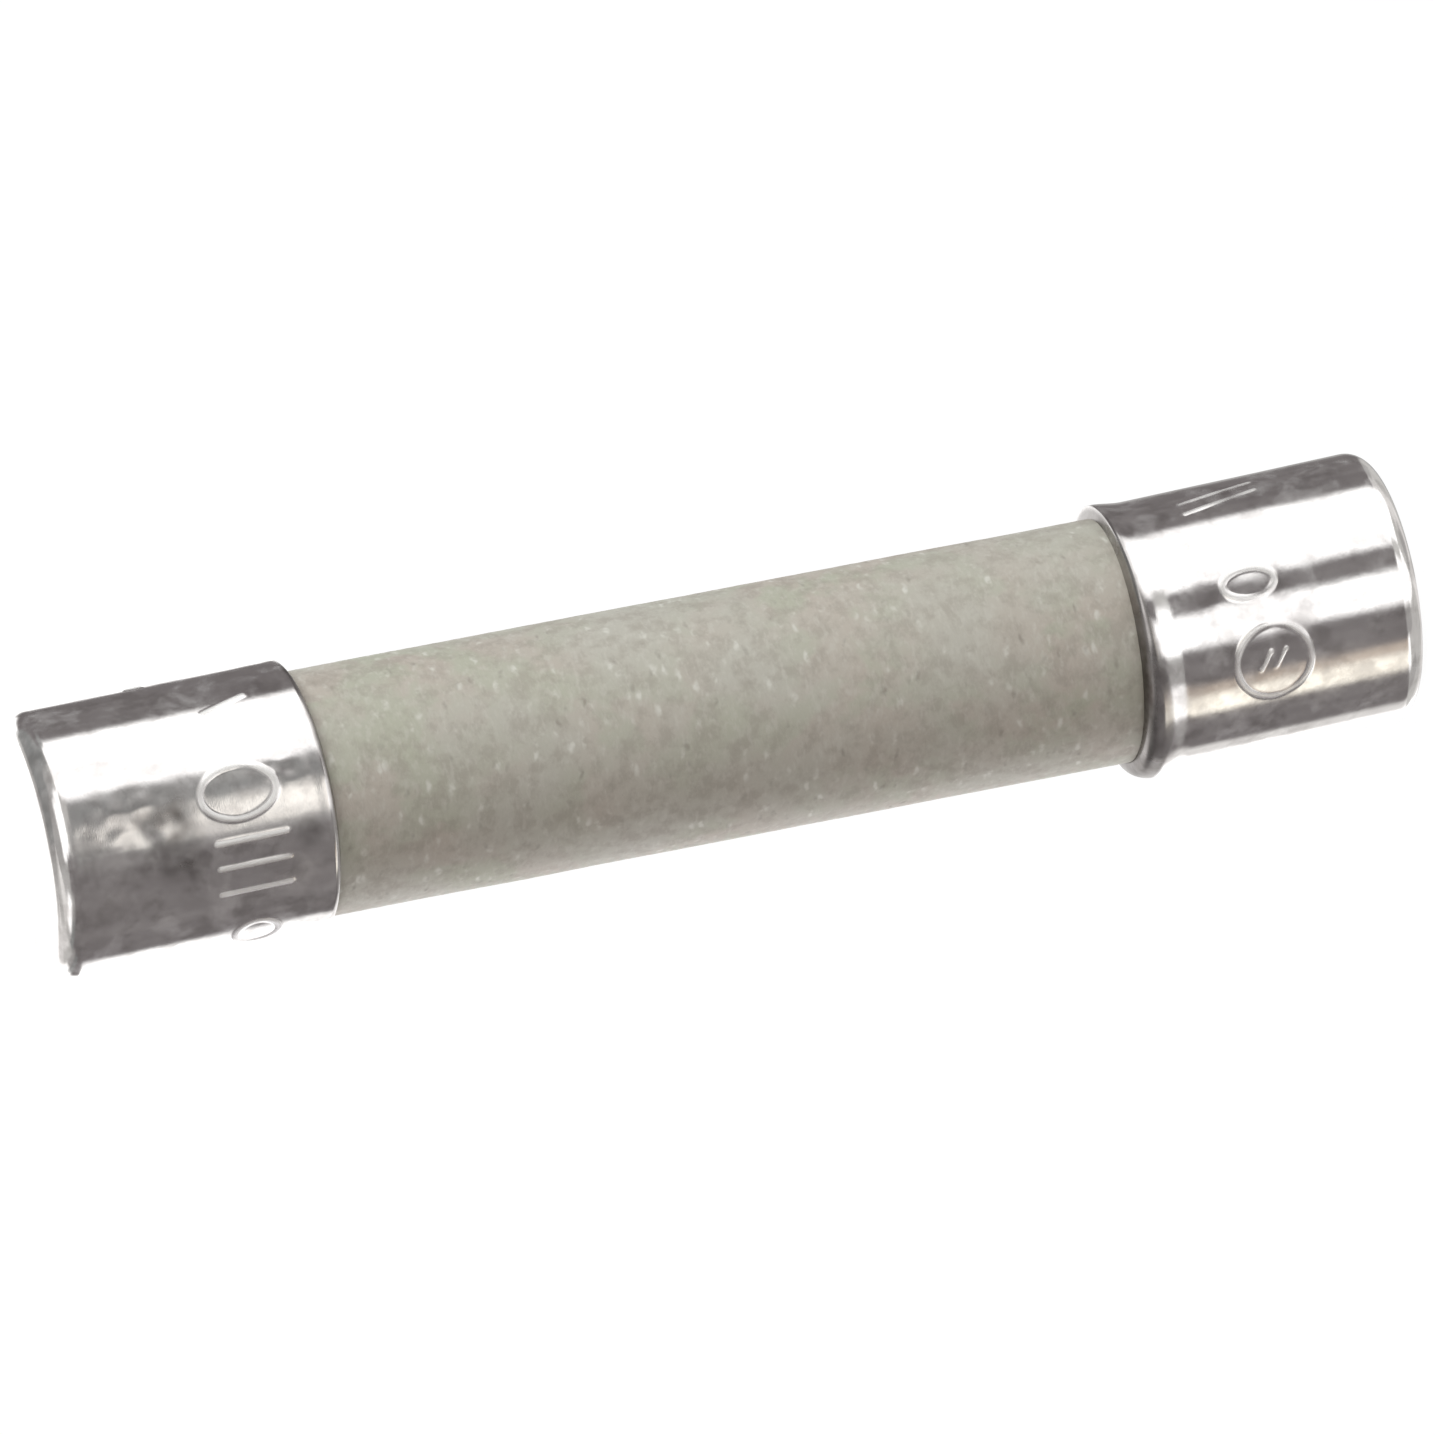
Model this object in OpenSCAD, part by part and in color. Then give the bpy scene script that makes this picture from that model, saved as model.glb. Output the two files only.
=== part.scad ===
/* [Fuse] */
// Overall length, from end face to end face
fuse_l = 32.5; // [29:0.5:40]
// Outside diameter of the end caps
cap_d = 6.28; // [5.8:0.02:7.4]

/* [End caps] */
// Length of the upper cap, from its end face to its mouth
upper_cap_l = 6.5; // [5:0.05:8]
// Length of the lower cap, from its end face to its mouth
lower_cap_l = 6.75; // [5:0.05:8]
// Thickness of the drawn sheet
sheet_t = 0.27; // [0.2:0.01:0.35]
// Outside radius round a cap's closed end
cap_edge_r = 0.5; // [0.4:0.05:0.8]
// Gap between a cap's bore and the tube
cap_play = 0.03; // [0.01:0.01:0.05]

/* [Cap mouths] */
// Length of the flared stretch at each mouth
flare_l = 0.5; // [0.4:0.05:0.8]
// How far the lower cap's lip stands proud of its side
lower_lip = 0.08; // [0.04:0.01:0.12]
// How far the upper cap's lip stands proud of its side
upper_lip = 0.04; // [0.02:0.01:0.12]
// Depth of the neck behind the lower cap's lip
neck_depth = 0.045; // [0.02:0.005:0.07]
// Distance from the mouth to the deepest place of the neck
neck_at = 0.65; // [0.5:0.05:0.9]

/* [Ceramic tube] */
// Wall of the tube
tube_wall = 0.88; // [0.6:0.02:1]
// Chamfer on the edges of the tube's ends
tube_chamfer = 0.12; // [0.05:0.01:0.2]

/* [Solder] */
// Solder between a cap's floor and the end of the tube
solder_seat = 0.3; // [0.15:0.05:0.6]
// Height of the solder in the tube's bore, at its middle
solder_rise = 1.2; // [1:0.1:2]
// How much higher the solder stands at the bore's wall
solder_climb = 0.4; // [0.2:0.05:0.7]
// How deep the element's ends are set in the solder
solder_set = 0.9; // [0.5:0.1:1.2]
// Gap round a wire or rod that is set in metal
set_play = 0.01; // [0.005:0.005:0.02]

/* [Tension spring] */
// Mean diameter of the coils
spring_d = 2.4; // [1.8:0.1:2.8]
// Diameter of the spring wire
spring_wire_d = 0.35; // [0.2:0.05:0.45]
// Number of full coils
spring_coils = 14; // [8:1:16]
// Turns in which an end coil comes in to the axis
spring_lead = 0.75; // [0.5:0.25:1]
// Height that the wire gains as it comes in to the axis
spring_rise = 0.6; // [0.3:0.1:0.9]
// Straight leg between the coils and what holds them
spring_leg = 0.9; // [0.3:0.1:1.5]

/* [Heat sink and trip joint] */
// Diameter of the heat sink
sink_d = 2.2; // [1.9:0.1:2.8]
// Length of the heat sink
sink_l = 3.2; // [2.8:0.1:4.5]
// Chamfer on the heat sink's rims
sink_chamfer = 0.15; // [0.05:0.05:0.25]
// Diameter of the pot that holds the alloy
pot_d = 1.2; // [0.9:0.1:1.4]
// Depth of the pot
pot_depth = 1.5; // [1:0.1:1.8]
// Height of the alloy's crown over the pot's rim
alloy_crown = 0.2; // [0.1:0.05:0.3]
// How deep the spring's leg is set in the alloy
alloy_set = 1.2; // [0.6:0.1:1.4]

/* [Heater] */
// Diameter of the insulating core
core_d = 1; // [0.7:0.05:1.2]
// Length of the core
core_l = 9; // [7:0.5:11]
// How deep the core stands in the heat sink
core_set = 0.9; // [0.5:0.1:1]
// Diameter of the resistance wire
heater_wire_d = 0.12; // [0.08:0.01:0.16]
// Number of turns wound on the core
heater_turns = 16; // [8:1:20]
// Gap between the wound wire and the core
heater_play = 0.02; // [0.02:0.01:0.04]
// Straight leg of wire at each end of the winding
heater_leg = 0.25; // [0.15:0.05:0.5]
// How deep the wire's upper leg is set in the heat sink
heater_set = 0.5; // [0.3:0.1:0.8]

/* [Hidden] */
$fn = 96;

nickel = [0.80, 0.79, 0.77];
ceramic = [0.68, 0.66, 0.61];
solder_grey = [0.62, 0.63, 0.65];
spring_steel = [0.45, 0.46, 0.48];
alloy_grey = [0.72, 0.72, 0.74];
turned_brass = [0.72, 0.58, 0.30];
glass_fibre = [0.90, 0.88, 0.80];
resistance_wire = [0.55, 0.50, 0.45];

cap_r = cap_d / 2;
cap_bore_r = cap_r - sheet_t;
cap_inner_edge_r = cap_edge_r - sheet_t;
bead_r = sheet_t / 2;

tube_r = cap_bore_r - cap_play;
tube_bore_r = tube_r - tube_wall;
tube_end_z = sheet_t + solder_seat;
tube_l = fuse_l - 2 * tube_end_z;

solder_z = tube_end_z + solder_rise;
meniscus_r = (pow(tube_bore_r, 2) + pow(solder_climb, 2)) / (2 * solder_climb);

core_r = core_d / 2;
core_z = solder_z - solder_set;
core_top_z = core_z + core_l;

sink_z = core_top_z - core_set;
sink_top_z = sink_z + sink_l;
pot_r = pot_d / 2;
pot_z = sink_top_z - pot_depth;
crown_r = (pow(pot_r, 2) + pow(alloy_crown, 2)) / (2 * alloy_crown);

spring_wire_r = spring_wire_d / 2;
spring_z = sink_top_z + alloy_crown + spring_leg;
spring_top_z = fuse_l - solder_z - spring_leg;
spring_foot_z = sink_top_z - alloy_set;
spring_head_z = fuse_l - solder_z + solder_set;

heater_wire_r = heater_wire_d / 2;
winding_r = core_r + heater_play + heater_wire_r;
winding_z = solder_z + heater_leg;
winding_top_z = sink_z - heater_leg;
winding_head_z = sink_z + heater_set;
winding_lead = 0.25;
winding_rise = 0.25;

spring_sides = 8;
spring_steps = 16;
winding_sides = 6;
winding_steps = 12;

// Half section of a closed round body: its foot has a rounded outer corner
module rounded_foot(r, h, corner) {
    square([r - corner, h]);
    translate([0, corner]) square([r, h - corner]);
    translate([r - corner, corner]) circle(corner);
}

// Half section of a round bar or sleeve with a chamfer on every outer rim
module chamfered_bar(r, h, chamfer) {
    polygon([
        [0, 0], [r - chamfer, 0], [r, chamfer],
        [r, h - chamfer], [r - chamfer, h], [0, h]
    ]);
}

// Space inside a cap, from its floor to the height h
module cap_cavity(h) {
    translate([0, sheet_t])
        rounded_foot(cap_bore_r, h - sheet_t, cap_inner_edge_r);
}

// The sheet at the mouth of a cap l long leans out to a round edge
module mouth_flare(l, lip) {
    flare_z = l - flare_l;
    bead_z = l - bead_r;
    polygon([
        [cap_bore_r, flare_z], [cap_r, flare_z],
        [cap_r + lip, bead_z], [cap_bore_r + lip, bead_z]
    ]);
    translate([cap_bore_r + lip + bead_r, bead_z]) circle(bead_r);
}

// A drawn cap l long with its closed end at z = 0 and its mouth upwards. The arc of its neck runs
// into the round edge of its lip without a corner
module drawn_cap(l, lip, neck) {
    rise = lip + neck;
    arc_r = (pow(rise, 2) + pow(neck_at - bead_r, 2)) / (2 * rise) - bead_r;
    rotate_extrude() difference() {
        union() {
            rounded_foot(cap_r, l - flare_l, cap_edge_r);
            mouth_flare(l, lip);
        }
        cap_cavity(l + 1);
        if (neck > 0)
            translate([cap_r - neck + arc_r, l - neck_at]) circle(arc_r);
    }
}

// Solder on a cap's floor and up in the tube's bore, with a hollow top where it wets the wall
module solder_pool() {
    rotate_extrude() {
        cap_cavity(tube_end_z);
        difference() {
            translate([0, sheet_t])
                square([tube_bore_r, solder_z + solder_climb - sheet_t]);
            translate([0, solder_z + meniscus_r]) circle(meniscus_r);
        }
    }
}

// Socket for the core, core_h deep, with a keyway leg_h deep for the leg of its wire. The leg
// stands where the winding is after this many turns
module core_socket(core_h, leg_h, turns) {
    leg_r = heater_wire_r + set_play;
    cylinder(r = core_r + set_play, h = core_h);
    rotate([0, 0, 360 * turns]) linear_extrude(leg_h) {
        translate([winding_r, 0]) circle(leg_r);
        translate([0, -leg_r]) square([winding_r, 2 * leg_r]);
    }
}

// A wire that runs round the z axis is a list of stations [distance from axis, angle, height]
function place(s) = [s.x * cos(s.y), s.x * sin(s.y), s.z];
function unit(v) = v / norm(v);
function heading(path, i) =
    unit(place(path[min(i + 1, len(path) - 1)]) - place(path[max(i - 1, 0)]));
function outward(s, t) = let (e = [cos(s.y), sin(s.y), 0]) unit(e - (e * t) * t);
function wire_ring(path, i, r, sides) =
    let (t = heading(path, i), n = outward(path[i], t), b = cross(t, n))
    [for (k = [0:sides - 1]) let (a = 360 * k / sides)
        place(path[i]) + r * (cos(a) * n + sin(a) * b)];

// Share of the way, from 0 to 1, with a level start and end
function ease(t) = let (c = min(1, max(0, t))) c * c * (3 - 2 * c);
// What is left of a rise that slows as it is made
function rise_left(t) = pow(1 - min(1, max(0, t)), 3);

// Stations of a coil with a straight leg at each end. The legs stand at end_r from the axis, and
// the wire moves between end_r and coil_r in lead turns, in which it also gains the height rise
function coil_path(coil_r, end_r, turns, lead, rise, z_low, z_high, foot_z, head_z, steps) =
    let (
        pitch = (z_high - z_low - 2 * rise) / turns,
        count = ceil(turns * steps)
    )
    [
        [end_r, 0, foot_z],
        for (i = [0:count]) let (
            w = turns * i / count,
            spread = ease(w / lead) * ease((turns - w) / lead)
        ) [
            end_r + (coil_r - end_r) * spread,
            360 * w,
            z_low + pitch * w + rise * (1 - rise_left(w / lead))
                + rise * rise_left((turns - w) / lead)
        ],
        [end_r, 360 * turns, head_z]
    ];

// A round wire of radius r swept along a path
module swept_wire(path, r, sides) {
    last = len(path) - 1;
    points = [for (i = [0:last]) each wire_ring(path, i, r, sides)];
    walls = [
        for (i = [0:last - 1], k = [0:sides - 1])
            let (a = i * sides + k, b = i * sides + (k + 1) % sides)
            each [[a, a + sides, b + sides], [a, b + sides, b]]
    ];
    foot = [for (k = [0:sides - 1]) k];
    head = [for (k = [sides - 1:-1:0]) last * sides + k];
    polyhedron(points, concat([foot, head], walls), convexity = 10);
}

module ceramic_tube() {
    color(ceramic) translate([0, 0, tube_end_z]) difference() {
        rotate_extrude() chamfered_bar(tube_r, tube_l, tube_chamfer);
        translate([0, 0, -1]) cylinder(r = tube_bore_r, h = tube_l + 2);
    }
}

module upper_cap() {
    color(nickel) translate([0, 0, fuse_l]) mirror([0, 0, 1])
        drawn_cap(upper_cap_l, upper_lip, 0);
}

module lower_cap() {
    color(nickel) drawn_cap(lower_cap_l, lower_lip, neck_depth);
}

module upper_solder() {
    color(solder_grey) difference() {
        translate([0, 0, fuse_l]) mirror([0, 0, 1]) solder_pool();
        translate([0, 0, spring_top_z])
            cylinder(r = spring_wire_r + set_play, h = spring_head_z - spring_top_z);
    }
}

module lower_solder() {
    color(solder_grey) difference() {
        solder_pool();
        translate([0, 0, core_z]) core_socket(core_l, core_l, 0);
    }
}

module tension_spring() {
    turns = spring_coils + 2 * spring_lead;
    path = coil_path(
        spring_d / 2, 0, turns, spring_lead, spring_rise,
        spring_z, spring_top_z, spring_foot_z, spring_head_z, spring_steps
    );
    color(spring_steel) swept_wire(path, spring_wire_r, spring_sides);
}

module trip_alloy() {
    color(alloy_grey) translate([0, 0, pot_z]) difference() {
        rotate_extrude() {
            square([pot_r, pot_depth]);
            intersection() {
                translate([0, pot_depth + alloy_crown - crown_r]) circle(crown_r);
                translate([0, pot_depth / 2]) square([pot_r, pot_depth]);
            }
        }
        translate([0, 0, spring_foot_z - pot_z])
            cylinder(r = spring_wire_r + set_play, h = pot_depth + 2 * alloy_crown);
    }
}

module heat_sink() {
    color(turned_brass) translate([0, 0, sink_z]) difference() {
        rotate_extrude() chamfered_bar(sink_d / 2, sink_l, sink_chamfer);
        translate([0, 0, sink_l - pot_depth]) cylinder(r = pot_r, h = pot_depth + 1);
        translate([0, 0, -1]) core_socket(core_set + 1, heater_set + 1, heater_turns);
    }
}

module heater_core() {
    color(glass_fibre) translate([0, 0, core_z]) cylinder(r = core_r, h = core_l);
}

module heater_winding() {
    path = coil_path(
        winding_r, winding_r, heater_turns, winding_lead, winding_rise,
        winding_z, winding_top_z, core_z, winding_head_z, winding_steps
    );
    color(resistance_wire) swept_wire(path, heater_wire_r, winding_sides);
}

ceramic_tube();
upper_cap();
lower_cap();
upper_solder();
lower_solder();
tension_spring();
trip_alloy();
heat_sink();
heater_core();
heater_winding();
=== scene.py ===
import math

import bmesh
import bpy
import numpy as np
from mathutils import Matrix, Vector, noise


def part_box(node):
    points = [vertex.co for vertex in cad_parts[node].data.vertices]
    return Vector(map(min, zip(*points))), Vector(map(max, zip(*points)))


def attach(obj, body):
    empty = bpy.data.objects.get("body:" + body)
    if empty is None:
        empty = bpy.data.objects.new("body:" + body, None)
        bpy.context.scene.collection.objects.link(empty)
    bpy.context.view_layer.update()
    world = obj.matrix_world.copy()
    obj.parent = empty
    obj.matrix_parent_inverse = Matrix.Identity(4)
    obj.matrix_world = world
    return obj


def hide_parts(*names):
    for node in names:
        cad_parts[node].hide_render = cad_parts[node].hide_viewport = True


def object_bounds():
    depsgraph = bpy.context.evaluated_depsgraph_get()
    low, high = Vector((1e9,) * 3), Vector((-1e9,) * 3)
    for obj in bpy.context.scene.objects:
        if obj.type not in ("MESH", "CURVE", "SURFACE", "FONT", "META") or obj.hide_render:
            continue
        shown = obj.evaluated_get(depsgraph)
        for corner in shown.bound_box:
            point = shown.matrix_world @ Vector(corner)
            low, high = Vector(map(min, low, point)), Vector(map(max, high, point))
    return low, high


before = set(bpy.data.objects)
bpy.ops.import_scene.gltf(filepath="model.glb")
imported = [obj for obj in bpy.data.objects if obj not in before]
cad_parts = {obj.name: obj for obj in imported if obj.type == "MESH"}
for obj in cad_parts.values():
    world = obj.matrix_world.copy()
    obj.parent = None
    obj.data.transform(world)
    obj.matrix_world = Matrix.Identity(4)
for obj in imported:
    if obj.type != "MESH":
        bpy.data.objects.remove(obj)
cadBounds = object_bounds()
cadMiddle = (cadBounds[0] + cadBounds[1]) / 2
mm = 0.001
print("frame loaded:", len(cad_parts), "nodes")


class Value:  # a socket of a node tree that takes part in sums
    def __init__(self, shade, socket):
        self.shade = shade
        self.socket = socket

    def maths(self, operation, *terms):
        return self.shade.node("ShaderNodeMath", {"operation": operation}, dict(enumerate(terms)))

    def __add__(self, other):
        return self.maths("ADD", self, other)

    __radd__ = __add__

    def __sub__(self, other):
        return self.maths("SUBTRACT", self, other)

    def __rsub__(self, other):
        return self.maths("SUBTRACT", other, self)

    def __mul__(self, other):
        return self.maths("MULTIPLY", self, other)

    __rmul__ = __mul__

    def __truediv__(self, other):
        return self.maths("DIVIDE", self, other)

    def __rtruediv__(self, other):
        return self.maths("DIVIDE", other, self)

    def rise(self, low, high):  # 0 at low, 1 at high, smooth between them; low may be the larger one
        settings = {"interpolation_type": "SMOOTHSTEP"}
        sockets = {"Value": self, "From Min": low, "From Max": high}
        return self.shade.node("ShaderNodeMapRange", settings, sockets)


class Shade:  # the node tree of a material or the world
    def __init__(self, owner):
        owner.use_nodes = True
        self.owner = owner
        self.tree = owner.node_tree
        self.tree.nodes.clear()

    def node(self, kind, settings=None, sockets=None, out=0):
        made = self.tree.nodes.new(kind)
        for name, value in (settings or {}).items():
            if name == "stops":
                self.setStops(made.color_ramp, value)
            else:
                setattr(made, name, value)
        for key, value in (sockets or {}).items():
            if isinstance(value, Value):
                self.tree.links.new(value.socket, made.inputs[key])
            else:
                made.inputs[key].default_value = value
        return Value(self, made.outputs[out]) if len(made.outputs) else made

    def setStops(self, ramp, stops):
        while len(ramp.elements) > 1:
            ramp.elements.remove(ramp.elements[-1])
        for index, (place, colour) in enumerate(stops):
            stop = ramp.elements[0] if index == 0 else ramp.elements.new(place)
            stop.position = place
            stop.color = rgb(*colour)

    def noise(self, place, size, detail=3.0, roughness=0.55):  # size of a feature, in mm
        sockets = {"Vector": place, "Scale": 1 / (size * mm), "Detail": detail, "Roughness": roughness}
        return self.node("ShaderNodeTexNoise", {}, sockets, "Fac")

    def cells(self, place, size):  # distance from the middle of a cell, whose size is in mm
        sockets = {"Vector": place, "Scale": 1 / (size * mm)}
        return self.node("ShaderNodeTexVoronoi", {}, sockets, "Distance")

    def layer(self, name):  # what the mesh stores at its vertices under this name
        return self.node("ShaderNodeAttribute", {"attribute_name": name}, {}, "Fac")

    def axis(self, place, name):
        return self.node("ShaderNodeSeparateXYZ", {}, {0: place}, name)

    def seen(self):  # 1 for what the camera sees itself, 0 in reflections and for light
        return self.node("ShaderNodeLightPath", {}, {}, "Is Camera Ray")

    def stretched(self, place, scale):  # a scale above 1 makes what lies along that axis shorter
        return self.node("ShaderNodeMapping", {}, {"Vector": place, "Scale": scale})

    def warped(self, place, size, reach):  # places pushed about by up to reach, in mm
        sockets = {"Vector": place, "Scale": 1 / (size * mm), "Detail": 1.0}
        push = self.node("ShaderNodeTexNoise", {}, sockets, "Color")
        level = self.node("ShaderNodeVectorMath", {"operation": "SUBTRACT"}, {0: push, 1: (0.5, 0.5, 0.5)})
        level = self.node("ShaderNodeVectorMath", {"operation": "SCALE"}, {0: level, "Scale": 2 * reach * mm})
        return self.node("ShaderNodeVectorMath", {"operation": "ADD"}, {0: place, 1: level})

    def mix(self, factor, first, second):  # colours
        return self.node("ShaderNodeMix", {"data_type": "RGBA"}, {0: factor, 6: first, 7: second}, 2)

    def bump(self, height, depth, normal=None):  # depth of the relief, in mm
        sockets = {"Height": height, "Distance": depth * mm}
        if normal:
            sockets["Normal"] = normal
        return self.node("ShaderNodeBump", {}, sockets)

    def surface(self, shader):
        kind = "World" if isinstance(self.owner, bpy.types.World) else "Material"
        self.node("ShaderNodeOutput" + kind, {}, {"Surface": shader})
        return self.owner

    def principled(self, sockets):
        return self.surface(self.node("ShaderNodeBsdfPrincipled", {}, sockets))


def newPaint(name):
    shade = Shade(bpy.data.materials.new(name))
    place = shade.node("ShaderNodeTexCoord", {}, {}, "Object")
    return shade, place


def rgb(*levels):  # an opaque colour for a socket
    return (*levels, 1.0)


def addObject(name, data):
    made = bpy.data.objects.new(name, data)
    bpy.context.scene.collection.objects.link(made)
    return made


# Camera: the fuse stands on its lower cap, and the picture is rolled until it lies on its side

cameraPlan = {
    "lean": 12.78,  # degrees that the camera looks down on the upper end
    "roll": 10.84,  # degrees that the axis climbs to the picture's right
    "distance": 0.4,  # m
    "pictureWidth": 1435,
    "pixelsPerMm": 43.68,  # at the middle of the fuse
    "pixelsRight": 5.0,  # how far the picture's centre is right of the fuse's
    "pixelsDown": 1.0,
    "sensor": 36.0,
    "clip": (0.01, 20),  # m
}


def makeCamera(plan):
    lean = math.radians(plan["lean"])
    roll = math.radians(plan["roll"])
    back = Vector((0, -math.cos(lean), math.sin(lean)))
    along = Vector((0, -math.sin(lean), -math.cos(lean)))
    side = Vector((1, 0, 0))
    right = along * math.cos(roll) - side * math.sin(roll)
    above = along * math.sin(roll) + side * math.cos(roll)
    pixel = mm / plan["pixelsPerMm"]
    aim = cadMiddle + right * plan["pixelsRight"] * pixel - above * plan["pixelsDown"] * pixel
    turn = Matrix((right, above, back)).transposed().to_4x4()
    camera = addObject("camera", bpy.data.cameras.new("camera"))
    camera.matrix_world = Matrix.Translation(aim + back * plan["distance"]) @ turn
    camera.data.sensor_width = plan["sensor"]
    camera.data.lens = plan["sensor"] * plan["distance"] / (plan["pictureWidth"] * pixel)
    camera.data.clip_start, camera.data.clip_end = plan["clip"]
    bpy.context.scene.camera = camera


makeCamera(cameraPlan)
print("camera set")


# Revolved pieces: each row has a radius and a height in mm, and the share of the relief that it takes

def blendTo(share):  # 0 to 1 with level ends
    share = np.clip(share, 0.0, 1.0)
    return share * share * (3 - 2 * share)


def halfTurn(angle):  # the same angle between -180 and 180 degrees, in radians
    return (angle + math.pi) % (2 * math.pi) - math.pi


def spaced(start, end, step):  # start and the places after it, up to but not at the end
    count = math.ceil(abs(end - start) / step)
    return [start + (end - start) * k / count for k in range(count)]


def unevenness(turn, height, radius, size, depth, seed):  # slow swells, up to about depth either way
    x, y = radius * np.sin(turn) / size + seed, radius * np.cos(turn) / size
    places = np.stack((x, y, height / size), axis=-1).reshape(-1, 3)
    swell = [noise.noise(place) for place in places.tolist()]
    return depth * np.array(swell).reshape(turn.shape)


def revolve(name, rows, steps, relief, capped):  # capped: a point closes each end; else the ends meet
    turn = np.linspace(0, 2 * math.pi, steps, endpoint=False)
    radius, height, share = [np.array(column)[:, None] for column in zip(*rows)]
    around, rise = relief(turn[None, :] + 0 * radius, height + 0 * turn[None, :])
    radius = radius + share * around
    height = height + 0 * turn[None, :] + rise
    points = np.stack((radius * np.sin(turn), -radius * np.cos(turn), height), axis=-1)
    grid = np.arange(len(rows) * steps).reshape(len(rows), steps)
    nextStep = np.roll(grid, -1, axis=1)
    below, above = slice(0, -1), slice(1, None)
    quads = np.stack((grid[below], nextStep[below], nextStep[above], grid[above]), axis=-1)
    faces = quads.reshape(-1, 4).tolist()
    vertices = points.reshape(-1, 3)
    if capped:
        first, last = len(vertices), len(vertices) + 1
        middles = np.array([[0, 0, height[0].mean()], [0, 0, height[-1].mean()]])
        vertices = np.vstack((vertices, middles))
        faces += [(first, b, a) for a, b in zip(grid[0], nextStep[0])]
        faces += [(last, a, b) for a, b in zip(grid[-1], nextStep[-1])]
    else:
        faces += np.stack((grid[-1], nextStep[-1], nextStep[0], grid[0]), axis=-1).tolist()
    mesh = bpy.data.meshes.new(name)
    mesh.from_pydata((vertices * mm).tolist(), [], faces)
    tidy = bmesh.new()
    tidy.from_mesh(mesh)
    bmesh.ops.recalc_face_normals(tidy, faces=tidy.faces)
    for face in tidy.faces:
        face.smooth = True
    tidy.to_mesh(mesh)
    tidy.free()
    return addObject(name, mesh)


# Caps: drawn nickel-plated shells with raised marks, dense enough to hold their dents

capPlan = {  # what both caps share; lengths in mm
    "wall": 3.14,  # radius
    "sheet": 0.27,
    "edge": 0.52,  # radius of the closed end's edge
    "turnedIn": (0.03, 0.3),  # inside of the mouth: in from its radius, share of the way to the crest
    "cutEdge": (0.02, 0.02),  # in from the mouth's radius, distance from the mouth
    "lipRelief": 0.3,  # share of the wall's relief that the lip takes
    "trimFade": 2.4,  # how far from the mouth its uneven cut still tells
    "driftFade": 1.5,  # how far past the crest its climb still tells
    "dentStretch": 0.7,  # below 1, dents are longer along the cap than round it
    "dentSeed": 18.3,
    "paintedShadeFade": 0.1,  # over which the painted shade ends, round its reach
    "cutPaintedShade": (0.08, 0.12),  # painted shade, darker at the cut: full up to the first, faded over the second
    "dirtClouds": (0.3, 0.8, 44.7),  # size, depth, seed
    "dirtLevel": (0.85, 0, 1.2),  # middle, least, most
    "markHalfWidth": 0.1,
    "markWear": (0.7, 1.1, 71.9),  # size, depth, seed
    "markWearLevel": (0.85, 0.3, 1.0),  # middle, least, most
    "markDulled": 1.6,  # gain that makes the upper part of a mark's sides as dull as its top
    "steps": 540,  # vertices round a cap
    # from row to row, in mm
    "markStep": 0.034,
    "flareStep": 0.04,  # from the lip's crest to the wall
    "wallStep": 0.08,
    "boreStep": 1.2,
    # from row to row, in radians
    "edgeTurn": 0.1,
    "lipTurn": 0.11,
    "boreTurn": 0.3,
    # rows of the floor inside in bore radii, and of the closed end in radii of its flat part
    "floorShares": (0.4, 0.7, 0.85),
    "endShares": (1, 0.97, 0.85, 0.65, 0.4, 0.15),
}

upperCapPlan = {
    "name": "upper_cap_shell",
    "node": "upper_cap",
    "mouthAt": 26.05,
    "closedEnd": 1,  # the closed end is above the mouth
    "length": 6.45,
    "mouth": 2.95,  # outer radius at the mouth, before its edge rounds out
    "crest": (3.147, 0.17),  # radius, distance from the mouth
    "wallFrom": 0.45,
    "lean": (0.9, 3.4),  # degrees in the picture's plane, and the distance from the mouth that stays
    "trim": (0.015, 0.04, -0.17),  # how far up the mouth is cut: all round, towards +X, towards the camera
    "crestDrift": 0.0,  # how far the lip's crest climbs from -X to the middle, and from there to +X
    "swells": [(1.5, 0.007, 11.3), (0.5, 0.0012, 23.1)],  # size, depth, seed
    # painted shade along the mouth, where its rounding and the gap beside the tube look dark: degrees round
    # the cap, reach from the mouth, share behind it, more at it
    "paintedShadeAndDirt": [(-90, 0.13, 0.25, 0.0), (0, 0.14, 0.65, 0.0), (90, 0.14, 0.85, 0.0)],
    # spots: degrees, at, half width, half length, then the size and depth of dents, or a share
    "dents": [(-1, 4.4, 0.75, 1.15, 0.36, 0.03), (11, 0.95, 0.3, 0.4, 0.3, 0.03)],
    "dirt": [(-1, 4.4, 0.75, 1.15, 0.3), (0, 3.55, 0.75, 0.5, 0.62), (11, 0.95, 0.3, 0.4, 0.3),
             (-16, 0.68, 0.32, 0.28, 0.75), (-20, 3.55, 0.28, 0.5, 0.7)],
    "film": [(-12, 5.3, 0.3, 0.7, 0.2), (-36, 5.4, 0.8, 0.9, 0.12), (-31, 0.7, 0.7, 0.5, 0.1)],
    "markHeight": 0.032,
    "rubbed": 1.0,  # how dull the tops of the marks are
    "marks": [  # bar: degrees, from, to, slant; ring: degrees, at, half width, half length
        ("bar", 48, 1.3, 2.3, -20),
        ("ring", 6, 2.05, 0.6, 0.85),
        ("bar", -14, 1.15, 2.7, 0),
        ("bar", -25, 1.15, 2.7, 0),
        ("bar", -37, 1.15, 2.7, 0),
        ("ring", -66, 1.85, 0.5, 0.5),
        ("bar", 80, 3.3, 3.6, 0),
    ],
}

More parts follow.
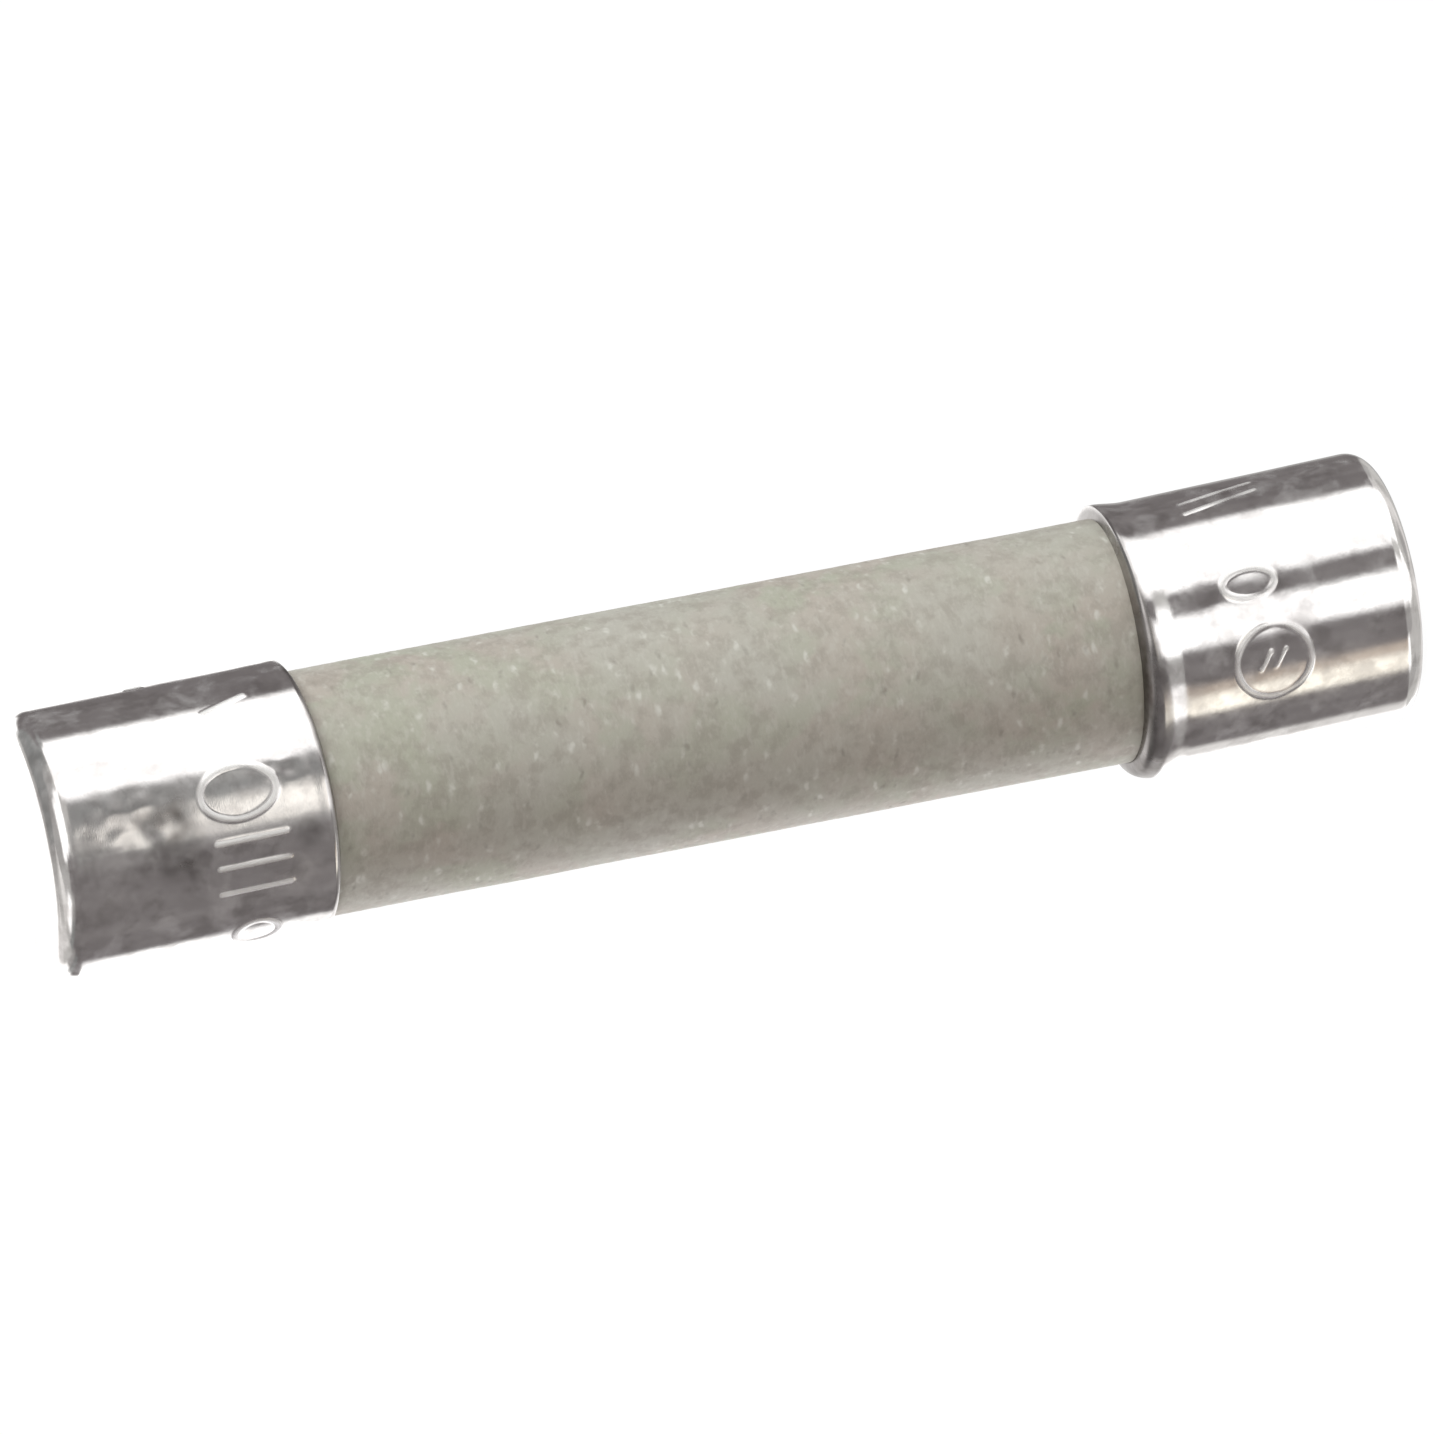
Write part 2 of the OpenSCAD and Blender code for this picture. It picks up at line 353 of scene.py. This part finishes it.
lowerCapPlan = {
    "name": "lower_cap_shell",
    "node": "lower_cap",
    "mouthAt": 6.76,
    "closedEnd": -1,  # the closed end is below the mouth
    "length": 6.76,
    "mouth": 2.76,
    "crest": (3.22, 0.3),
    "wallFrom": 1.0,
    "lean": (1.5, 3.0),
    "trim": (0.0, -0.05, 0.0),
    "crestDrift": 0.18,
    "swells": [(1.7, 0.005, 4.7), (0.55, 0.0009, 37.9)],
    # painted shade along the lip, with the same columns as the upper cap's list
    "paintedShadeAndDirt": [(-80, 0.29, 0.93, 0.05), (-70, 0.3, 0.93, 0.05), (-60, 0.36, 0.5, 0.25), (-44, 0.5, 0.4, 0.4),
                (-28, 0.48, 0.38, 0.6), (-10, 0.38, 0.6, 0.3), (8, 0.32, 0.7, 0.1), (24, 0.3, 0.5, 0.1),
                (54, 0.3, 0.45, 0.15), (66, 0.25, 0.5, 0.4), (80, 0.25, 0.45, 0.4)],
    "dents": [(8, 2.8, 1.0, 1.5, 0.45, 0.013)],
    "dirt": [(8, 2.8, 1.0, 1.5, 0.1)],
    "film": [(-20, 4.9, 0.4, 0.9, 0.1)],
    "markHeight": 0.024,
    "rubbed": 0.65,
    "marks": [
        ("bar", 66, 1.9, 3.7, 12),
        ("bar", 58, 1.9, 3.7, 12),
        ("ring", 13, 2.75, 0.34, 0.62),
        ("ring", -22, 3.05, 0.88, 0.9),
        ("bar", -21, 2.74, 2.98, 58),
        ("bar", -21, 3.1, 3.34, 58),
    ],
}


def markReach(kind, first, second, third):  # from where to where on the wall a mark lies
    return (first, second) if kind == "bar" else (first - third, first + third)


def capRows(plan):  # from the floor inside, round the mouth and along the wall to the closed end
    wall, sheet, edge, length = plan["wall"], plan["sheet"], plan["edge"], plan["length"]
    mouth, (crest, crestAt), wallFrom = plan["mouth"], plan["crest"], plan["wallFrom"]
    (turnedIn, turnedShare), (cutIn, cutAt) = plan["turnedIn"], plan["cutEdge"]
    bore, floorAt, soft = wall - sheet, length - sheet, edge - sheet
    quarter = math.pi / 2
    rows = [(bore * share, floorAt, 0) for share in plan["floorShares"]]
    rows += [(bore - soft + soft * math.sin(t), floorAt - soft + soft * math.cos(t), 0)
             for t in spaced(0, quarter, plan["boreTurn"])]
    rows += [(bore, at, 0) for at in spaced(floorAt - soft, wallFrom, plan["boreStep"])]
    rows += [(bore, crestAt, 0), (mouth - turnedIn, crestAt * turnedShare, 0), (mouth - cutIn, cutAt, 0)]
    rows += [(mouth + (crest - mouth) * math.sin(t), crestAt * (1 - math.cos(t)), plan["lipRelief"])
             for t in spaced(0, quarter, plan["lipTurn"])]
    rows += [(crest + (wall - crest) * blendTo((at - crestAt) / (wallFrom - crestAt)), at, 1)
             for at in spaced(crestAt, wallFrom, plan["flareStep"])]
    reach = [markReach(kind, *sizes) for kind, degrees, *sizes in plan["marks"]]
    spare = 2 * plan["markHalfWidth"]
    marksFrom = max(wallFrom, min(low for low, high in reach) - spare)
    marksTo = max(high for low, high in reach) + spare
    wallEnd = length - edge
    rows += [(wall, at, 1) for at in spaced(wallFrom, marksFrom, plan["wallStep"])]
    rows += [(wall, at, 1) for at in spaced(marksFrom, marksTo, plan["markStep"])]
    rows += [(wall, at, 1) for at in spaced(marksTo, wallEnd, plan["wallStep"])]
    rows += [(wall - edge + edge * math.cos(t), wallEnd + edge * math.sin(t), math.cos(t))
             for t in spaced(0, quarter, plan["edgeTurn"])]
    rows += [((wall - edge) * share, length, 0) for share in plan["endShares"]]
    return rows


def barDistance(around, at, low, high, slant):  # from the bar's line
    middle, half = (low + high) / 2, (high - low) / 2
    onLine = np.clip(at - middle, -half, half)
    return np.hypot(around - onLine * math.tan(math.radians(slant)), at - middle - onLine)


def ringDistance(around, at, middle, halfWidth, halfLength):  # from the ring's line, near enough
    tiny = 1e-9  # so that the ring's middle doesn't divide by 0
    x, y = around / halfWidth, (at - middle) / halfLength
    size = np.hypot(x, y) + tiny
    return abs(size - 1) * size / (np.hypot(x / halfWidth, y / halfLength) + tiny)


def markShare(plan, turn, at):  # 1 on the line of a raised mark, 0 beside it
    share = np.zeros_like(turn)
    for kind, degrees, *sizes in plan["marks"]:
        around = halfTurn(turn - math.radians(degrees)) * plan["wall"]
        distance = (barDistance if kind == "bar" else ringDistance)(around, at, *sizes)
        share = np.maximum(share, 1 - blendTo(distance / plan["markHalfWidth"]))
    level, least, most = plan["markWearLevel"]
    return share * np.clip(level + unevenness(turn, at, plan["wall"], *plan["markWear"]), least, most)


def spotShare(plan, spot, turn, at):  # 1 in the middle of a spot, 0 away from it
    degrees, middle, halfWidth, halfLength = spot[:4]
    x = halfTurn(turn - math.radians(degrees)) * plan["wall"] / halfWidth
    y = (at - middle) / halfLength
    return np.exp(-x ** 2 - y ** 2)


def capRelief(plan):  # how far each place stands out, and its shift towards the closed end
    allRound, across, towards = plan["trim"]
    crestAt = plan["crest"][1]

    def relief(turn, at):
        around = markShare(plan, turn, at) * plan["markHeight"]
        for size, depth, seed in plan["swells"]:
            around += unevenness(turn, at, plan["wall"], size, depth, seed)
        for *spot, size, depth in plan["dents"]:
            dents = unevenness(turn, at * plan["dentStretch"], plan["wall"], size, depth, plan["dentSeed"])
            around += spotShare(plan, spot, turn, at) * dents
        cut = allRound + across * np.sin(turn) + towards * np.cos(turn)
        cut = cut * (1 - blendTo(at / plan["trimFade"]))
        drift = plan["crestDrift"] * np.sin(turn) * blendTo(at / crestAt)
        drift = drift * (1 - blendTo((at - crestAt) / plan["driftFade"]))
        return around, plan["closedEnd"] * (cut + drift)

    return relief


def capCoverings(plan, rows):  # how worn each vertex is, and how dark from dirt and from painted shade at the mouth
    steps = np.linspace(0, 2 * math.pi, plan["steps"], endpoint=False)
    turn, at = np.meshgrid(steps, [row[1] for row in rows])
    onWall = np.array([row[2] for row in rows])[:, None]
    dirt, film = [sum(spot[-1] * spotShare(plan, spot, turn, at) for spot in plan[kind]) * onWall
                  for kind in ("dirt", "film")]
    level, least, most = plan["dirtLevel"]
    dirt *= np.clip(level + unevenness(turn, at, plan["wall"], *plan["dirtClouds"]), least, most)
    # painted shade at the mouth, set by the angle round the cap
    places, *columns = zip(*plan["paintedShadeAndDirt"])
    reach, behind, more = [np.interp(np.degrees(halfTurn(turn)), places, column) for column in columns]
    behind = behind * (1 - blendTo((at - reach) / plan["paintedShadeFade"] + 0.5))
    fullTo, fade = plan["cutPaintedShade"]
    more = more * (1 - blendTo((at - fullTo) / fade))
    dulled = np.clip(plan["markDulled"] * markShare(plan, turn, at), 0, 1) * plan["rubbed"] * onWall
    return {"worn": np.clip(dulled + film, 0, 1), "paintedShadeAndDirt": behind + more + dirt}


def makeCap(plan):
    plan = {**capPlan, **plan}
    rows = capRows(plan)
    piece = revolve(plan["name"], rows, plan["steps"], capRelief(plan), True)
    for name, share in capCoverings(plan, rows).items():
        layer = piece.data.attributes.new(name, "FLOAT", "POINT")
        layer.data.foreach_set("value", np.append(share, (0, 0)))
    lean, stays = plan["lean"]
    slope = math.tan(math.radians(lean)) * plan["closedEnd"]
    for vertex in piece.data.vertices:
        height = vertex.co.z / mm
        vertex.co.x -= slope * (height - stays) * mm
        vertex.co.z = (plan["mouthAt"] + plan["closedEnd"] * height) * mm
    if plan["closedEnd"] < 0:
        piece.data.flip_normals()
    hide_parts(plan["node"])
    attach(piece, "root")
    return piece


platePlan = {
    "dull": (0.76, 0.74, 0.735),
    "bright": (0.92, 0.91, 0.90),
    "stained": (0.46, 0.435, 0.425),
    "rubbed": (0.9, 0.89, 0.87),
    # dark colour for the dirt and for the painted shade along the mouths
    "paintedShadeAndDirtColour": (0.105, 0.09, 0.082),
    # patterns: size in mm, detail
    "cloud": (1.4, 4),
    "haze": (0.25, 3),
    "grain": (0.12, 2),
    "stain": (0.75, 4),
    "scuff": (0.8, 3),
    "grainStretch": (1, 1, 6),
    "scuffWarp": (0.9, 0.4),  # size and reach in mm
    # levels between which a pattern sets in
    "cloudLevels": (0.3, 0.7),
    "stainLevels": (0.46, 0.66),
    "scuffLevels": (0.46, 0.72),
    # how much of its colour shows
    "stainShare": 0.47,
    "wornShare": 0.9,
    "paintedShadeAndDirtShare": (0.85, 0.25),  # everywhere, and more in the haze
    "lessMetal": {"worn": 0.65, "scuff": 0.2},
    "roughness": {"clean": 0.10, "scuff": 0.06, "haze": 0.03, "worn": 0.35, "paintedShadeAndDirt": 0.2},
    "depth": {"haze": 0.0015, "grain": 0.0006},  # mm
}


def nickelPlate(plan):
    shade, place = newPaint("nickel_plate")
    cloud = shade.noise(place, *plan["cloud"]).rise(*plan["cloudLevels"])
    haze = shade.noise(place, *plan["haze"])
    grain = shade.noise(shade.stretched(place, plan["grainStretch"]), *plan["grain"])
    stain = shade.noise(place, *plan["stain"]).rise(*plan["stainLevels"])
    scuff = shade.noise(shade.warped(place, *plan["scuffWarp"]), *plan["scuff"]).rise(*plan["scuffLevels"])
    worn, paintedShadeAndDirt = shade.layer("worn"), shade.layer("paintedShadeAndDirt")
    everywhere, hazy = plan["paintedShadeAndDirtShare"]
    colour = shade.mix(cloud, rgb(*plan["dull"]), rgb(*plan["bright"]))
    colour = shade.mix(stain * plan["stainShare"], colour, rgb(*plan["stained"]))
    colour = shade.mix(worn * plan["wornShare"], colour, rgb(*plan["rubbed"]))
    # the dirt and the painted shade along the mouths darken the plate
    colour = shade.mix(paintedShadeAndDirt * (everywhere + hazy * haze), colour, rgb(*plan["paintedShadeAndDirtColour"]))
    less, rough, depth = plan["lessMetal"], plan["roughness"], plan["depth"]
    rougher = rough["clean"] + rough["scuff"] * scuff + rough["haze"] * haze
    rougher = rougher + rough["worn"] * worn + rough["paintedShadeAndDirt"] * paintedShadeAndDirt
    return shade.principled({
        "Base Color": colour,
        "Metallic": 1 - less["worn"] * worn - less["scuff"] * scuff,
        "Roughness": rougher,
        "Normal": shade.bump(grain, depth["grain"], shade.bump(haze, depth["haze"])),
    })


nickel = nickelPlate(platePlan)
for plan in (upperCapPlan, lowerCapPlan):
    makeCap(plan).data.materials.append(nickel)
print("caps made")


# Ceramic tube: a fired, unglazed body with grain and flecks

tubePlan = {
    "name": "ceramic_body_shell",
    "node": "ceramic_tube",
    "steps": 320,  # vertices round the tube
    "rowStep": 0.13,  # mm
    "boreStep": 4,  # mm
    "chamfer": 0.12,  # mm
    "boreShare": 0.69,  # bore radius in outer radii
    "swell": (2.5, 0.012, 31.0),  # size, depth, seed
    "grain": (0.22, 0.005, 57.0),
}


def makeTube(plan):
    low, high = [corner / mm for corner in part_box(plan["node"])]
    radius, cut = high.x, plan["chamfer"]
    bore = radius * plan["boreShare"]
    rows = [(bore, at, 0) for at in spaced(high.z, low.z, plan["boreStep"])]
    rows += [(bore, low.z, 0), (radius - cut, low.z, 0)]
    rows += [(radius, at, 1) for at in spaced(low.z + cut, high.z - cut, plan["rowStep"])]
    rows += [(radius, high.z - cut, 0), (radius - cut, high.z, 0)]

    def relief(turn, at):
        swell = unevenness(turn, at, radius, *plan["swell"])
        return swell + unevenness(turn, at, radius, *plan["grain"]), 0

    piece = revolve(plan["name"], rows, plan["steps"], relief, False)
    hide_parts(plan["node"])
    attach(piece, "root")
    return piece


ceramicPlan = {
    "green": (0.442, 0.448, 0.358),
    "pink": (0.484, 0.433, 0.376),
    "pale": (0.49, 0.475, 0.415),
    # patterns: size in mm, detail and, where it isn't the usual one, roughness
    "tint": (1.4, 3),
    "cloud": (3.2, 2),
    "mottle": (0.45, 4, 0.6),
    "streak": (0.3, 2),
    "fine": (0.14, 3, 0.6),
    "tintStretch": (1.3, 0.8, 1),
    "streakStretch": (1, 1, 2),
    "fineStretch": (1, 1, 2.2),  # longer round the tube than along it, as the flecks are
    "fineWarp": (0.25, 0.1),  # size and reach in mm
    # levels between which a pattern sets in
    "tintLevels": (0.42, 0.58),
    "cloudLevels": (0.3, 0.7),
    "coats": [  # pattern, its levels, share, colour
        ("mottle", (0.58, 0.34), 0.5, (0.335, 0.30, 0.255)),
        ("streak", (0.50, 0.72), 0.38, (0.58, 0.565, 0.505)),
        ("fine", (0.45, 0.75), 0.2, (0.60, 0.585, 0.53)),
    ],
    "flecks": [  # size of a cell and its levels, size of a crowd of flecks and its levels, share, colour
        (0.7, (0.32, 0.08), 0.45, (0.42, 0.62), 0.85, (0.67, 0.66, 0.60)),
        (0.6, (0.32, 0.06), 0.5, (0.46, 0.66), 0.55, (0.24, 0.21, 0.18)),
    ],
    "roughness": (0.48, 0.2),  # everywhere, and more with the mottle
    "depth": {"mottle": 0.012, "fine": 0.006},  # mm
}


def firedCeramic(plan):
    shade, place = newPaint("fired_ceramic")
    around = shade.stretched(shade.warped(place, *plan["fineWarp"]), plan["fineStretch"])
    tint = shade.noise(shade.stretched(place, plan["tintStretch"]), *plan["tint"])
    cloud = shade.noise(place, *plan["cloud"])
    patterns = {
        "mottle": shade.noise(place, *plan["mottle"]),
        "streak": shade.noise(shade.stretched(place, plan["streakStretch"]), *plan["streak"]),
        "fine": shade.noise(around, *plan["fine"]),
    }
    colour = shade.mix(tint.rise(*plan["tintLevels"]), rgb(*plan["green"]), rgb(*plan["pink"]))
    colour = shade.mix(cloud.rise(*plan["cloudLevels"]), colour, rgb(*plan["pale"]))
    for pattern, levels, share, coat in plan["coats"]:
        colour = shade.mix(patterns[pattern].rise(*levels) * share, colour, rgb(*coat))
    for cellSize, cellLevels, crowdSize, crowdLevels, share, coat in plan["flecks"]:
        fleck = shade.cells(around, cellSize).rise(*cellLevels)
        crowd = shade.noise(place, crowdSize).rise(*crowdLevels)
        colour = shade.mix(fleck * crowd * share, colour, rgb(*coat))
    mottle, depth = patterns["mottle"], plan["depth"]
    everywhere, mottled = plan["roughness"]
    return shade.principled({
        "Base Color": colour,
        "Roughness": everywhere + mottled * mottle,
        "Normal": shade.bump(patterns["fine"], depth["fine"], shade.bump(mottle, depth["mottle"])),
    })


makeTube(tubePlan).data.materials.append(firedCeramic(ceramicPlan))
print("tube made")


# Inner pieces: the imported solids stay, each with its own finish

metalPlan = {  # what the metals share, where a metal doesn't say otherwise
    "stain": (0.8, 4),  # size in mm, detail
    "stainLevels": (0.3, 0.7),
    "stainRougher": 0.15,
    "grainDetail": 3,
    "stretch": (1, 1, 1),  # of the grain
}

metalPlans = [
    {
        "paint": "soft_solder",
        "nodes": ("upper_solder", "lower_solder"),
        "dark": (0.45, 0.46, 0.48),
        "light": (0.66, 0.67, 0.69),
        "roughness": 0.32,
        "grain": (0.3, 0.01),  # size and depth in mm
    },
    {
        "paint": "low_melting_alloy",
        "nodes": ("trip_alloy",),
        "dark": (0.58, 0.58, 0.60),
        "light": (0.76, 0.76, 0.78),
        "roughness": 0.25,
        "grain": (0.2, 0.006),
    },
    {
        "paint": "drawn_spring_wire",
        "nodes": ("tension_spring",),
        "dark": (0.34, 0.35, 0.37),
        "light": (0.50, 0.51, 0.53),
        "roughness": 0.28,
        "grain": (0.06, 0.003),
    },
    {
        "paint": "turned_brass",
        "nodes": ("heat_sink",),
        "dark": (0.60, 0.44, 0.19),
        "light": (0.78, 0.62, 0.32),
        "roughness": 0.22,
        "grain": (0.05, 0.003),
        "stretch": (0.1, 0.1, 3),
    },
    {
        "paint": "oxidised_wire",
        "nodes": ("heater_winding",),
        "dark": (0.20, 0.17, 0.15),
        "light": (0.42, 0.38, 0.34),
        "roughness": 0.45,
        "grain": (0.04, 0.002),
    },
]

rodPlan = {
    "paint": "fibre_rod",
    "nodes": ("heater_core",),
    "dark": (0.72, 0.69, 0.58),
    "light": (0.92, 0.90, 0.83),
    "roughness": (0.6, 0.2),  # everywhere, and more with the strands
    "strand": (0.05, 3),  # size in mm, detail
    "stretch": (1, 1, 0.06),
    "depth": 0.01,  # mm
}


def metalFinish(plan):
    shade, place = newPaint(plan["paint"])
    grainSize, grainDepth = plan["grain"]
    stain = shade.noise(place, *plan["stain"])
    grain = shade.noise(shade.stretched(place, plan["stretch"]), grainSize, plan["grainDetail"])
    return shade.principled({
        "Base Color": shade.mix(stain.rise(*plan["stainLevels"]), rgb(*plan["dark"]), rgb(*plan["light"])),
        "Metallic": 1.0,
        "Roughness": plan["roughness"] + plan["stainRougher"] * stain,
        "Normal": shade.bump(grain, grainDepth),
    })


def fibreRod(plan):
    shade, place = newPaint(plan["paint"])
    strand = shade.noise(shade.stretched(place, plan["stretch"]), *plan["strand"])
    everywhere, rougher = plan["roughness"]
    return shade.principled({
        "Base Color": shade.mix(strand, rgb(*plan["dark"]), rgb(*plan["light"])),
        "Roughness": everywhere + rougher * strand,
        "Normal": shade.bump(strand, plan["depth"]),
    })


def paintNodes(nodes, paint):
    for node in nodes:
        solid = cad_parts[node]
        solid.data.materials.clear()
        solid.data.materials.append(paint)


for plan in metalPlans:
    paintNodes(plan["nodes"], metalFinish({**metalPlan, **plan}))
paintNodes(rodPlan["nodes"], fibreRod(rodPlan))
print("inner pieces painted")


# Studio: a white floor, soft lamps, and a ring of light and dark cards that only the gloss sees

cardsPlan = {
    "colours": {
        "white": (1.68, 1.67, 1.66),
        "cream": (1.5, 1.42, 1.25),
        "warm": (1.36, 1.31, 1.23),
        "sand": (0.66, 0.56, 0.47),
        "light": (0.90, 0.88, 0.86),
        "pale": (0.62, 0.61, 0.59),
        "mid": (0.44, 0.43, 0.42),
        "grey": (0.28, 0.285, 0.28),
        "dark": (0.19, 0.175, 0.175),
    },
    "radius": 80,  # mm
    "segments": (64, 32),  # round and from pole to pole
    "fade": 2.0,  # mm of height over which one ring of cards fades into the next
    "softness": 6,  # degrees over which one card fades into the next
    "smudge": (14, 3),  # size in mm, detail
    "smudgeLevels": (0.42, 0.72),
    "smudgeShare": 0.3,
    "smudgeColour": (0.36, 0.34, 0.335),
    "above": "dark",  # over the last ring
    # each card's colour from its angle on, in degrees from the camera's side towards +X
    "rings": [  # up to each height, in mm
        (-73, [(-180, "light"), (-165, "pale"), (-28, "white"), (28, "pale"), (62, "mid"), (160, "light")]),
        (-62, [(-180, "light"), (-165, "pale"), (-28, "white"), (34, "pale"), (86, "light")]),
        (-42, [(-180, "light"), (-142, "pale"), (-112, "mid"), (-84, "pale"), (-50, "mid"),
               (-22, "white"), (22, "pale"), (40, "white"), (97, "light"), (115, "pale")]),
        (-31, [(-180, "light"), (-165, "white"), (-142, "pale"), (-112, "mid"), (-84, "white"),
               (-50, "mid"), (-22, "white"), (22, "pale"), (38, "white"), (92, "light"), (108, "mid"),
               (140, "pale"), (165, "grey")]),
        (-2, [(-180, "mid"), (-172, "white"), (-134, "light"), (-120, "dark"), (-79, "cream"),
              (-61, "sand"), (-51, "dark"), (-18, "white"), (10, "dark"), (32, "white"), (91, "dark"),
              (160, "mid")]),
        (15, [(-180, "white"), (-122, "dark"), (-25, "mid"), (-17, "warm"), (10, "grey"), (22, "mid"),
              (33, "white"), (94, "dark"), (155, "white")]),
        (22, [(-180, "white"), (-122, "dark"), (-20, "grey"), (-11, "pale"), (2, "grey"), (33, "white"),
              (93, "dark"), (155, "white")]),
        (40, [(-180, "white"), (-145, "dark"), (-12, "mid"), (14, "pale"), (36, "white"), (92, "dark"),
              (155, "white")]),
        (50, [(-180, "white"), (-140, "grey"), (-110, "dark"), (-12, "pale"), (42, "white"), (88, "grey"),
              (105, "dark"), (150, "white")]),
        (58, [(-180, "white"), (-135, "mid"), (-105, "dark"), (-9, "white"), (45, "pale"), (72, "grey"),
              (95, "dark"), (150, "white")]),
        (66, [(-180, "light"), (-145, "pale"), (-110, "grey"), (-75, "mid"), (-48, "dark"), (-12, "white"),
              (48, "mid"), (75, "grey"), (158, "pale")]),
        (73, [(-180, "mid"), (-165, "light"), (-115, "pale"), (-98, "white"), (-55, "mid"), (-18, "white"),
              (45, "mid"), (80, "grey"), (160, "mid")]),
        (99, [(-180, "mid"), (-150, "pale"), (-120, "light"), (-65, "mid"), (60, "grey")]),
    ],
}

floorPlan = {
    "size": 3000,  # mm
    "drop": 0.01,  # mm under the fuse
    "colour": (0.86, 0.86, 0.86),
    "white": 1.04,  # level of the plain white that the camera sees over the paper
    "shown": 0.93,  # share of that white
}

# name, degrees from the camera's side towards +X, elevation, distance and size in m, power, colour
lampPlans = [
    ("key", 56, 30, 0.5, 0.35, 1.9, (0.91, 0.96, 0.98)),
    ("rearBounce", -130, 20, 0.5, 0.2, 2.5, (0.9, 0.92, 1.0)),
    ("rimBounce", 140, 20, 0.5, 0.35, 0.5, (0.8, 0.88, 1.0)),
]

worldPlan = {"level": 0.226, "colour": (1.0, 0.82, 0.68)}


def cardRamp(shade, place, plan, ring):  # colours by the share of a turn, 0.5 at the camera's side
    x, y = shade.axis(place, "X"), shade.axis(place, "Y")
    angle = x.maths("ARCTAN2", x, 0 - y) / (2 * math.pi) + 0.5
    half = plan["softness"] / 2 / 360
    stops = []
    for index, (start, name) in enumerate(ring):
        middle = start / 360 + 0.5
        if index:
            stops.append((middle - half, plan["colours"][ring[index - 1][1]]))
        stops.append((middle + half if index else middle, plan["colours"][name]))
    return shade.node("ShaderNodeValToRGB", {"stops": stops}, {"Fac": angle})


def makeCards(plan):
    tent = bmesh.new()
    across, along = plan["segments"]
    bmesh.ops.create_uvsphere(tent, u_segments=across, v_segments=along, radius=plan["radius"] * mm)
    mesh = bpy.data.meshes.new("cards")
    tent.to_mesh(mesh)
    tent.free()
    cards = addObject("cards", mesh)
    shade, place = newPaint("cards")
    height = shade.axis(place, "Z")
    colour = rgb(*plan["colours"][plan["above"]])
    for top, ring in reversed(plan["rings"]):
        below = height.rise((top + plan["fade"]) * mm, (top - plan["fade"]) * mm)
        colour = shade.mix(below, colour, cardRamp(shade, place, plan, ring))
    smudge = shade.noise(place, *plan["smudge"]).rise(*plan["smudgeLevels"])
    colour = shade.mix(smudge * plan["smudgeShare"], colour, rgb(*plan["smudgeColour"]))
    mesh.materials.append(shade.surface(shade.node("ShaderNodeEmission", {}, {"Color": colour})))
    mesh.materials[0].cycles.emission_sampling = "NONE"
    cards.visible_camera = False
    cards.visible_diffuse = False
    cards.visible_shadow = False
    cards.visible_transmission = False


def makeFloor(plan):
    mesh = bpy.data.meshes.new("floor")
    half, drop = plan["size"] * mm / 2, -plan["drop"] * mm
    corners = [(-half, -half, drop), (half, -half, drop), (half, half, drop), (-half, half, drop)]
    mesh.from_pydata(corners, [], [(0, 1, 2, 3)])
    floor = addObject("floor", mesh)
    shade = Shade(bpy.data.materials.new("paper_floor"))
    paper = shade.node("ShaderNodeBsdfDiffuse", {}, {"Color": rgb(*plan["colour"])})
    plain = shade.node("ShaderNodeEmission", {}, {"Color": rgb(1, 1, 1), "Strength": plan["white"]})
    mixed = {0: shade.seen() * plan["shown"], 1: paper, 2: plain}
    mesh.materials.append(shade.surface(shade.node("ShaderNodeMixShader", {}, mixed)))
    floor.visible_glossy = False


def makeLamps(plans):
    for name, turn, lift, distance, size, power, colour in plans:
        turn, lift = math.radians(turn), math.radians(lift)
        away = Vector((math.sin(turn) * math.cos(lift), -math.cos(turn) * math.cos(lift), math.sin(lift)))
        lamp = addObject(name, bpy.data.lights.new(name, "AREA"))
        lamp.data.size = size
        lamp.data.energy = power
        lamp.data.color = colour
        lamp.location = cadMiddle + away * distance
        lamp.rotation_euler = away.to_track_quat("Z", "Y").to_euler()
        lamp.visible_glossy = False


def makeWorld(plan):
    world = bpy.data.worlds.new("studio")
    shade = Shade(world)
    light = rgb(*(plan["level"] * part for part in plan["colour"]))
    colour = shade.mix(shade.seen(), light, rgb(1, 1, 1))
    backdrop = shade.node("ShaderNodeBackground", {}, {"Color": colour, "Strength": 1.0})
    bpy.context.scene.world = shade.surface(backdrop)


makeFloor(floorPlan)
makeCards(cardsPlan)
makeLamps(lampPlans)
makeWorld(worldPlan)
bpy.context.scene.view_settings.view_transform = "Standard"
print("studio set")
